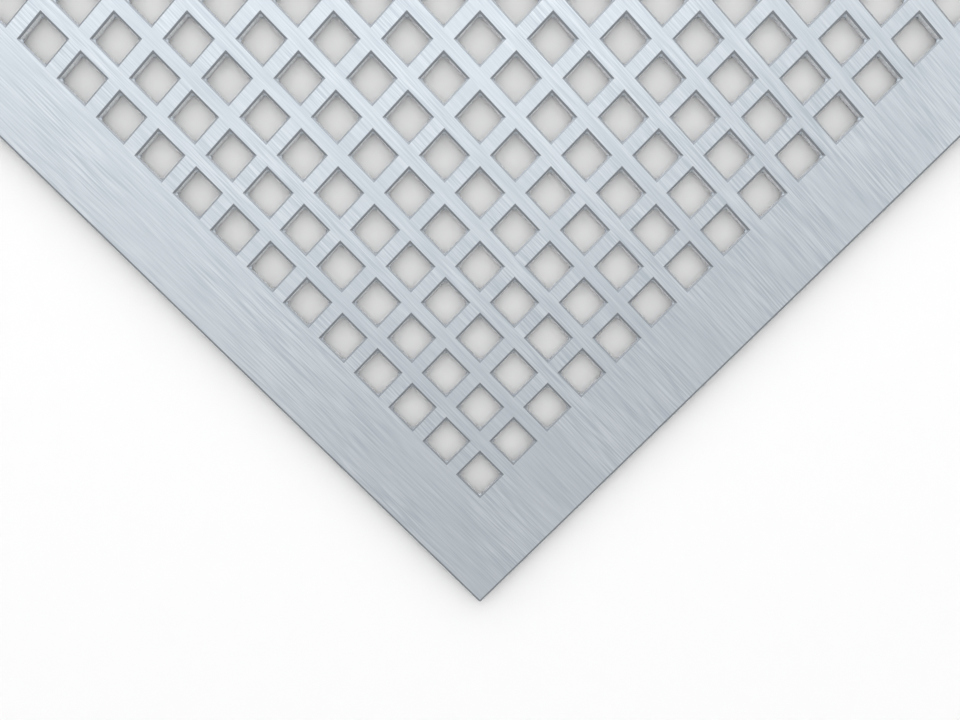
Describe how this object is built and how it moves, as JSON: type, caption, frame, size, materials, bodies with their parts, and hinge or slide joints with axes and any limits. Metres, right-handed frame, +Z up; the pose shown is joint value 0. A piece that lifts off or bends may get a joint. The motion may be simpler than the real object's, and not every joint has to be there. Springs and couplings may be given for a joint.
{
  "type": "perforated aluminium sheet",
  "caption": "Flat square aluminium sheet with straight rows of square through holes inside a plain border; brushed finish.",
  "frame": {"origin": "middle of the underside, where the sheet rests on the floor", "axes": "+Z up through the thickness; +X along the brushed lines and the length; +Y across"},
  "size_m": [0.2, 0.2, 0.001],
  "materials": {
    "brushed_aluminium": "fine brushed, the lines along X"
  },
  "bodies": {
    "root": {"perforated_sheet": "brushed_aluminium"}
  },
  "joints": []
}
